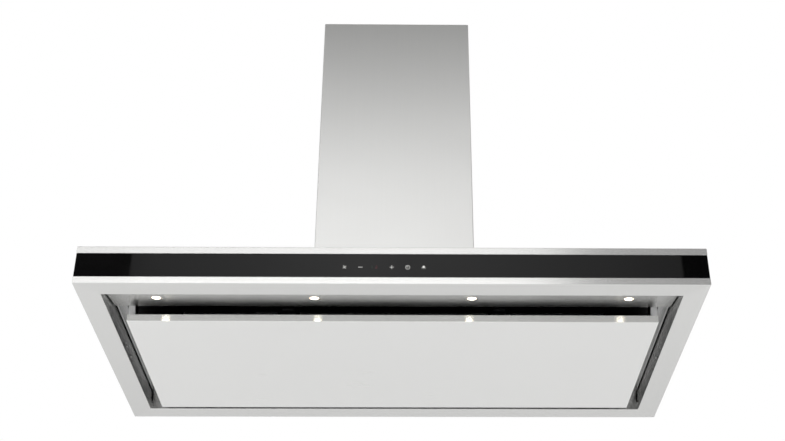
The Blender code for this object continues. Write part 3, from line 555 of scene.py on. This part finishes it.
def plate_of(bm, outline, cx, ch, y0=FACE, y1=GLASS_Y + 0.05 * MM):
    """Closed thin plate with a convex or star-shaped outline in the X-Z plane."""
    lo = [bm.verts.new((cx + u * MM, y0, up(ch + v * MM))) for u, v in outline]
    hi = [bm.verts.new((cx + u * MM, y1, up(ch + v * MM))) for u, v in outline]
    n = len(outline)
    for i in range(n):
        j = (i + 1) % n
        bm.faces.new((lo[i], lo[j], hi[j], hi[i]))
    bm.faces.new(lo[::-1])
    bm.faces.new(hi)


def ring_of(bm, r0, r1, cx, ch, segs=40, y0=FACE, y1=GLASS_Y + 0.05 * MM):
    loops = []
    for r, y in ((r0, y0), (r1, y0), (r1, y1), (r0, y1)):
        loops.append([bm.verts.new((cx + r * MM * math.cos(2 * math.pi * k / segs), y,
                                    up(ch + r * MM * math.sin(2 * math.pi * k / segs))))
                      for k in range(segs)])
    for i in range(4):
        p, q = loops[i], loops[(i + 1) % 4]
        for k in range(segs):
            j = (k + 1) % segs
            bm.faces.new((p[k], p[j], q[j], q[k]))


def arc(cx, cy, r, a0, a1, steps):
    return [(cx + r * math.cos(math.radians(a0 + (a1 - a0) * k / steps)),
             cy + r * math.sin(math.radians(a0 + (a1 - a0) * k / steps)))
            for k in range(steps + 1)]


def turn(points, degrees):
    c, s_ = math.cos(math.radians(degrees)), math.sin(math.radians(degrees))
    return [(u * c - v * s_, u * s_ + v * c) for u, v in points]


def capsule(length, width, steps=6):
    h = length / 2 - width / 2
    return arc(h, 0, width / 2, -90, 90, steps) + arc(-h, 0, width / 2, 90, 270, steps)


bm = bmesh.new()                                   # fan: four curved blades on a hub
blade = [(u + 2.4, v + 0.7) for u, v in turn(capsule(3.4, 1.1), 24)]
for a in (20, 110, 200, 290):
    plate_of(bm, turn(blade, a), -91.3 * MM, ICON_H)
piece("icon_fan", bm, PRINT, "hood")
bm = bmesh.new()
plate_of(bm, arc(0, 0, 0.8, 0, 330, 11), -91.3 * MM, ICON_H, FACE - 0.02 * MM)
piece("icon_fan_hub", bm, PRINT, "hood")
bm = bmesh.new()
plate_of(bm, capsule(8.8, 1.0), -61.6 * MM, ICON_H)
piece("icon_minus", bm, PRINT, "hood")
bm = bmesh.new()
w, l = 0.45, 4.1
cross = [(w, w), (w, l), (-w, l), (-w, w), (-l, w), (-l, -w), (-w, -w), (-w, -l), (w, -l),
         (w, -w), (l, -w), (l, w)]
plate_of(bm, cross, -2.2 * MM, ICON_H)
piece("icon_plus", bm, PRINT, "hood")
bm = bmesh.new()                                   # clock: ring and two hands
ring_of(bm, 3.6, 4.4, 28.1 * MM, ICON_H)
piece("icon_clock_ring", bm, PRINT, "hood")
bm = bmesh.new()
hands = [(-0.4, -0.4), (1.7, -0.4), (1.7, 0.4), (0.4, 0.4), (0.4, 3.0), (-0.4, 3.0)]
plate_of(bm, turn(hands, 45), 28.1 * MM, ICON_H)
piece("icon_clock_hands", bm, PRINT, "hood")
bm = bmesh.new()                                   # lamp: bulb with its cap, rays below
bulb = [(u, -v) for u, v in arc(0, -0.6, 2.5, -52, 232, 26) + [(-0.9, -3.6), (0.9, -3.6)]]
plate_of(bm, bulb, 58.3 * MM, ICON_H)
for a in (0, 180, -35, -145, -90):
    plate_of(bm, [(u, v - 0.4) for u, v in
                  turn([(p + 4.0, q) for p, q in capsule(1.4, 0.6, 3)], a)], 58.3 * MM, ICON_H)
piece("icon_lamp", bm, PRINT, "hood")


def digit(bm, cx, ch, segments):
    """Seven-segment figure, 4 mm wide and 7 mm high."""
    w, h = 1.6, 3.1
    bars = {"a": ((0, h), 0), "b": ((w, h / 2), 90), "c": ((w, -h / 2), 90), "d": ((0, -h), 0),
            "e": ((-w, -h / 2), 90), "f": ((-w, h / 2), 90), "g": ((0, 0), 0)}
    for key in segments:
        (u, v), a = bars[key]
        plate_of(bm, [(p + u, q + v) for p, q in turn(capsule(2.5, 0.55, 2), a)], cx, ch)


bm = bmesh.new()
digit(bm, -41.0 * MM, ICON_H, "bc")
piece("display_left", bm, FAINT_GREEN, "hood")
bm = bmesh.new()
digit(bm, -31.5 * MM, ICON_H, "abcdeg")
piece("display_right", bm, FAINT_RED, "hood")


# Pan-head screws with a cross recess, heads turned finely.
def screw(name, place, axis, r=3.2, h=1.7, body="hood", mat=None):
    """A head whose flat side rests at place; axis points out of the surface."""
    m = facing(axis, place)
    bm = bmesh.new()
    segs = 32
    c = 0.34                                        # half width of the cross
    out = [(r, 0.05), (r, 0.35), (r * 0.96, h * 0.55), (r * 0.82, h * 0.82),
           (r * 0.62, h * 0.95), (r * 0.45, h)]
    rings = [[bm.verts.new(m @ Vector((q * MM * math.cos(2 * math.pi * k / segs),
                                       q * MM * math.sin(2 * math.pi * k / segs), a * MM)))
              for k in range(segs)] for q, a in out]
    for p, q in zip(rings, rings[1:]):
        for k in range(segs):
            j = (k + 1) % segs
            bm.faces.new((p[k], p[j], q[j], q[k]))
    bm.faces.new(rings[0][::-1])
    # Cross recess: the crown ring joins a cross-shaped mouth that drops in.
    mouth, floor_ = [], []
    q = r * 0.45
    lim = q * 0.78
    for k in range(segs):
        t = 2 * math.pi * k / segs
        quarter = (k % 8) / 8.0
        arm = abs(((t / (math.pi / 2)) % 1.0) - 0.5) > 0.36
        rad = lim if arm else c * 1.25
        u, v = rad * math.cos(t), rad * math.sin(t)
        mouth.append(bm.verts.new(m @ Vector((u * MM, v * MM, h * MM))))
        floor_.append(bm.verts.new(m @ Vector((u * 0.7 * MM, v * 0.7 * MM, (h - 0.9) * MM))))
    for k in range(segs):
        j = (k + 1) % segs
        bm.faces.new((rings[-1][k], rings[-1][j], mouth[j], mouth[k]))
        bm.faces.new((mouth[k], mouth[j], floor_[j], floor_[k]))
    bm.faces.new(floor_)
    return piece(name, bm, mat or PIN, body, smooth=35)


WALL_X = HX - 45 * MM                              # recess side walls
for k, (sx, y, h) in enumerate(((-1, -20, 17.0), (-1, 26, 13.5), (1, -22, 17.0), (1, 24, 13.5))):
    screw("recess_screw_%d" % (k + 1), (sx * WALL_X, y * MM, up(h * MM)), (-sx, 0, 0), r=2.6,
          h=1.3, mat=CATCH)


# -------------------------------------------------------------- floor, world
floor_mat, n, b = new_material("studio_floor")
co = n.coord()
grainy = n.noise(co, 6.0, 3.0)
fx, fy, fz = n.xyz(co)
far = n.m("SQRT", n.add(n.mul(fx, fx), n.mul(fy, fy)))
# Painted shade: the floor's colour darkens with distance from the hood, in place of light falling off across it.
painted_floor_falloff = n.ramp(far, 0.0, 12.0, [(0, 1.0), (2.4, 1.0), (3.0, 0.96), (3.9, 0.84), (6.0, 0.76), (12.0, 0.76)])
n.put(b.inputs["Base Color"], n.mixc(1.0, tint(n, (0.86, 0.86, 0.86), grainy, 0.01),
                                     n.rgb(painted_floor_falloff), blend="MULTIPLY"))
b.inputs["Roughness"].default_value = 0.9
b.inputs["Specular IOR Level"].default_value = 0.1
bm = bmesh.new()
bmesh.ops.create_grid(bm, x_segments=8, y_segments=8, size=60.0)
me = bpy.data.meshes.new("studio_floor")
bm.to_mesh(me)
bm.free()
me.materials.append(floor_mat)
floor = bpy.data.objects.new("studio_floor", me)
floor.location = (0, 0, Z0 - 1.47)
bpy.context.scene.collection.objects.link(floor)

world = bpy.data.worlds.new("studio")
bpy.context.scene.world = world
world.use_nodes = True
nt = world.node_tree
nt.nodes.clear()
n = Net(nt)
d = n.node("ShaderNodeTexCoord").outputs["Generated"]
x, y, z = n.xyz(d)
elev = n.mul(n.m("ARCSINE", n.m("MINIMUM", n.m("MAXIMUM", z, -1.0), 1.0)), 180 / math.pi)
az = n.mul(n.m("ARCTAN2", x, n.mul(y, -1.0)), 180 / math.pi)     # 0 in front, + to the right
side = n.m("ABSOLUTE", az)
front = n.step(side, 48.0, 62.0, 1.0, 0.0)

# All round: bright low down, dimmer at mid height, brightest overhead.
allround = n.ramp(elev, 0.0, 90.0, [(0, 1.0), (12, 1.0), (30, 0.70), (50, 0.65), (60, 1.1),
                                    (72, 1.2), (90, 1.2)])
# In front: a long bright band low down, fading out above it and to the right.
low = n.ramp(elev, 0.0, 60.0, [(0, 0.4), (3, 0.5), (7, 0.75), (14, 0.95), (18, 3.1), (20, 3.3), (25.5, 2.7), (28, 2.6),
                               (30.5, 2.85), (32, 2.2), (34, 1.22), (36, 0.74), (38, 0.38),
                               (40, 0.16), (44, 0.07), (60, 0.07)])
across = n.ramp(az, -60.0, 60.0, [(-60, 0.5), (-30, 0.7), (-16, 0.84), (-11.5, 0.95), (-6, 1.0),
                                  (-1, 1.0), (2.7, 0.97), (6.2, 0.93), (7.2, 0.78), (8.1, 0.42),
                                  (8.7, 0.25), (10.9, 0.24), (14.0, 0.20), (60, 0.28)])
band = n.mul(low, n.mix(n.step(elev, 31.5, 36.0), across,
                        n.step(az, -12.0, 16.0, 1.02, 1.42)))
# The dim card that the glass mirrors, with straight ends.
card_z = n.mul(n.step(elev, 27.2, 27.35), n.step(elev, 29.85, 30.0, 1.0, 0.0))
card_x = n.mul(n.step(az, -13.95, -13.8), n.step(az, 13.65, 13.8, 1.0, 0.0))
card_level = n.ramp(az, -14.0, 14.0, [(-14, 0.37), (-12.6, 0.48), (-10.6, 0.54), (-7.5, 0.61),
                                      (-5.5, 0.69), (-3.4, 0.74), (-2.4, 0.79), (-1.4, 0.76),
                                      (-0.3, 0.70), (2.7, 0.67), (4.8, 0.61), (6.8, 0.54),
                                      (9.9, 0.46), (11.9, 0.38), (14, 0.32)])
edge_level = n.step(az, 0.0, 1.0, 0.06, 0.02, smooth=False)
front_level = n.mix(card_z, band, n.mix(card_x, edge_level, card_level))
level = n.mix(front, allround, front_level)
level = n.mix(n.step(elev, 52.0, 64.0), level, allround)
# Below the horizon, past the floor's edge.
level = n.mix(n.step(elev, -1.0, 0.0), n.mix(front, 0.9, 0.4), level)
cam = n.node("ShaderNodeLightPath").outputs["Is Camera Ray"]
level = n.mix(cam, level, 1.0)
bg = n.node("ShaderNodeBackground")
bg.inputs["Color"].default_value = (1.0, 1.0, 1.0, 1.0)
n.put(bg.inputs["Strength"], level)
out = n.node("ShaderNodeOutputWorld")
nt.links.new(bg.outputs[0], out.inputs["Surface"])


# A long low strip light in front gives the folded front edges a bright line.
def area(name, loc, target, sx, sy, watts):
    la = bpy.data.lights.new(name, "AREA")
    la.shape = "RECTANGLE"
    la.size, la.size_y = sx, sy
    la.energy = watts
    ob = bpy.data.objects.new(name, la)
    ob.location = loc
    ob.rotation_euler = (Vector(target) - Vector(loc)).to_track_quat("-Z", "Y").to_euler()
    ob.visible_camera = False
    bpy.context.scene.collection.objects.link(ob)
    return ob


area("low_strip", (-1.75, -2.2, Z0 - 0.42), (-1.75, 0.0, Z0 - 0.2), 4.5, 0.36, 8.5)

# A wide soft light straight overhead, for the floor.
over = bpy.data.lights.new("overhead", "SUN")
over.energy = 1.15
over.angle = math.radians(40.0)
over_ob = bpy.data.objects.new("overhead", over)
over_ob.location = (0.0, 0.0, Z0 + 4.0)
over_ob.visible_glossy = False
bpy.context.scene.collection.objects.link(over_ob)


# -------------------------------------------------------------------- camera
cam_data = bpy.data.cameras.new("camera")
cam_data.sensor_width = 36.0
cam_data.lens = 1282.28 / 785 * 36.0
cam_data.shift_x = -0.04414
cam_data.clip_start = 0.05
cam_data.clip_end = 100.0
camera = bpy.data.objects.new("camera", cam_data)
yaw, pitch, roll = math.radians(0.9411), math.radians(30.9947), math.radians(-0.2715)
fwd = Vector((math.sin(yaw) * math.cos(pitch), math.cos(yaw) * math.cos(pitch), math.sin(pitch)))
right_v = Vector((math.cos(yaw), -math.sin(yaw), 0.0))
up_v = right_v.cross(fwd)
r2 = right_v * math.cos(roll) + up_v * math.sin(roll)
u2 = up_v * math.cos(roll) - right_v * math.sin(roll)
rot = Matrix((r2, u2, -fwd)).transposed()
camera.matrix_world = Matrix.Translation(Vector((0.03039, -2.4488, Z0 - 1.13644))) @ rot.to_4x4()
bpy.context.scene.collection.objects.link(camera)
bpy.context.scene.camera = camera

scene = bpy.context.scene
scene.view_settings.view_transform = "Standard"
scene.view_settings.look = "None"
scene.view_settings.exposure = 0.0
scene.view_settings.gamma = 1.0
